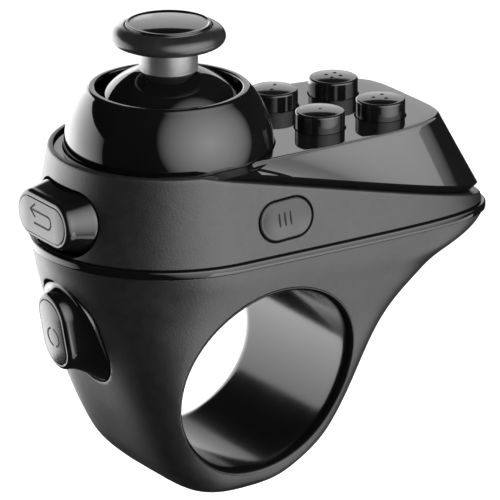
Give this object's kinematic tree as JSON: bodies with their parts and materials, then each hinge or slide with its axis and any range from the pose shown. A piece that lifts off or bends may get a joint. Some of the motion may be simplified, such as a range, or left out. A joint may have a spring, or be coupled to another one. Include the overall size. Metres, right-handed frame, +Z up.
{
  "type": "ring-style finger controller",
  "caption": "Finger-ring controller with a domed thumbstick, a cluster of round top keys, a flush side key, a front key and a hinged front trigger.",
  "frame": {"origin": "centre of the finger hole", "axes": "+X towards the tail behind the top keys, +Y along the finger hole away from the side key, +Z up towards the thumbstick"},
  "size_m": [0.0548, 0.0316, 0.0553],
  "materials": {
    "soft_touch": "soft-touch matte with a fine grain",
    "gloss_black": "polished piano black",
    "rubber_black": "satin black",
    "satin_metal": "satin anodised grey",
    "steel": "plain bright",
    "board": "green solder mask",
    "pouch": "foil pouch",
    "foam": "foam",
    "silicone": "translucent silicone",
    "flex": "polyimide film",
    "chip": "moulded package",
    "lens": "clear acrylic",
    "inner_plastic": "moulded"
  },
  "bodies": {
    "root": {"battery": "pouch", "battery_pad": "foam", "board_header": "inner_plastic", "board_screws": "steel", "button_board": "board", "button_membrane": "silicone", "centering_disc": "inner_plastic", "centering_spring": "steel", "charge_light": "lens", "controller_chip": "chip", "light_pipe": "lens", "lower_shell": "soft_touch", "main_board": "board", "mode_switch": "inner_plastic", "radio_module": "steel", "return_switch": "inner_plastic", "ring_liner": "gloss_black", "sensor_x": "inner_plastic", "sensor_y": "inner_plastic", "stick_dome": "gloss_black", "stick_housing": "inner_plastic", "top_cover": "gloss_black", "trigger_board": "board", "trigger_flex": "flex", "trigger_pin": "steel", "trigger_switch": "inner_plastic", "trim_strip": "gloss_black", "upper_shell": "soft_touch", "usb_socket": "steel"},
    "yoke": {"stick_yoke": "inner_plastic", "yoke_pin": "steel"},
    "stick": {"stick_shaft": "steel", "stem_sleeve": "satin_metal", "stick_skirt": "gloss_black", "thumb_cap": "rubber_black"},
    "arch": {"stick_arch": "inner_plastic"},
    "key_front_near": {"action_button_front_near": "gloss_black"},
    "key_front_far": {"action_button_front_far": "gloss_black"},
    "key_rear_near": {"action_button_rear_near": "gloss_black"},
    "key_rear_far": {"action_button_rear_far": "gloss_black"},
    "mode_key": {"mode_button": "soft_touch"},
    "return_key": {"return_button": "gloss_black"},
    "trigger_lever": {"trigger": "gloss_black"}
  },
  "joints": [
    {"name": "stick_tilt_fore_aft", "type": "hinge", "parent": "root", "child": "yoke", "pos_m": [-0.0058, 0, 0.0255], "axis": [0, 1, 0], "range_deg": [-18, 18], "stiffness_Nm_per_rad": 0.03},
    {"name": "stick_tilt_sideways", "type": "hinge", "parent": "yoke", "child": "stick", "pos_m": [-0.0058, 0, 0.0255], "axis": [1, 0, 0], "range_deg": [-18, 18], "stiffness_Nm_per_rad": 0.03},
    {"name": "arch_tilt", "type": "hinge", "parent": "root", "child": "arch", "pos_m": [-0.0058, 0, 0.0255], "axis": [1, 0, 0], "range_deg": [-18, 18], "stiffness_Nm_per_rad": 0.0005},
    {"name": "press_key_front_near", "type": "slide", "parent": "root", "child": "key_front_near", "axis": [0, 0, -1], "range_m": [0, 0.0008], "stiffness_N_per_m": 2500},
    {"name": "press_key_front_far", "type": "slide", "parent": "root", "child": "key_front_far", "axis": [0, 0, -1], "range_m": [0, 0.0008], "stiffness_N_per_m": 2500},
    {"name": "press_key_rear_near", "type": "slide", "parent": "root", "child": "key_rear_near", "axis": [0, 0, -1], "range_m": [0, 0.0008], "stiffness_N_per_m": 2500},
    {"name": "press_key_rear_far", "type": "slide", "parent": "root", "child": "key_rear_far", "axis": [0, 0, -1], "range_m": [0, 0.0008], "stiffness_N_per_m": 2500},
    {"name": "press_mode_key", "type": "slide", "parent": "root", "child": "mode_key", "axis": [0, 0.9895, -0.1444], "range_m": [0, 0.0004], "stiffness_N_per_m": 4000},
    {"name": "press_return_key", "type": "slide", "parent": "root", "child": "return_key", "axis": [1, 0, 0], "range_m": [0, 0.0005], "stiffness_N_per_m": 3500},
    {"name": "pull_trigger", "type": "hinge", "parent": "root", "child": "trigger_lever", "pos_m": [-0.0184, 0, 0.01189], "axis": [0, -1, 0], "range_deg": [0, 5], "stiffness_Nm_per_rad": 0.15}
  ],
  "couplings": [
    {"joint": "arch_tilt", "follows": "stick_tilt_sideways", "ratio": 1}
  ]
}
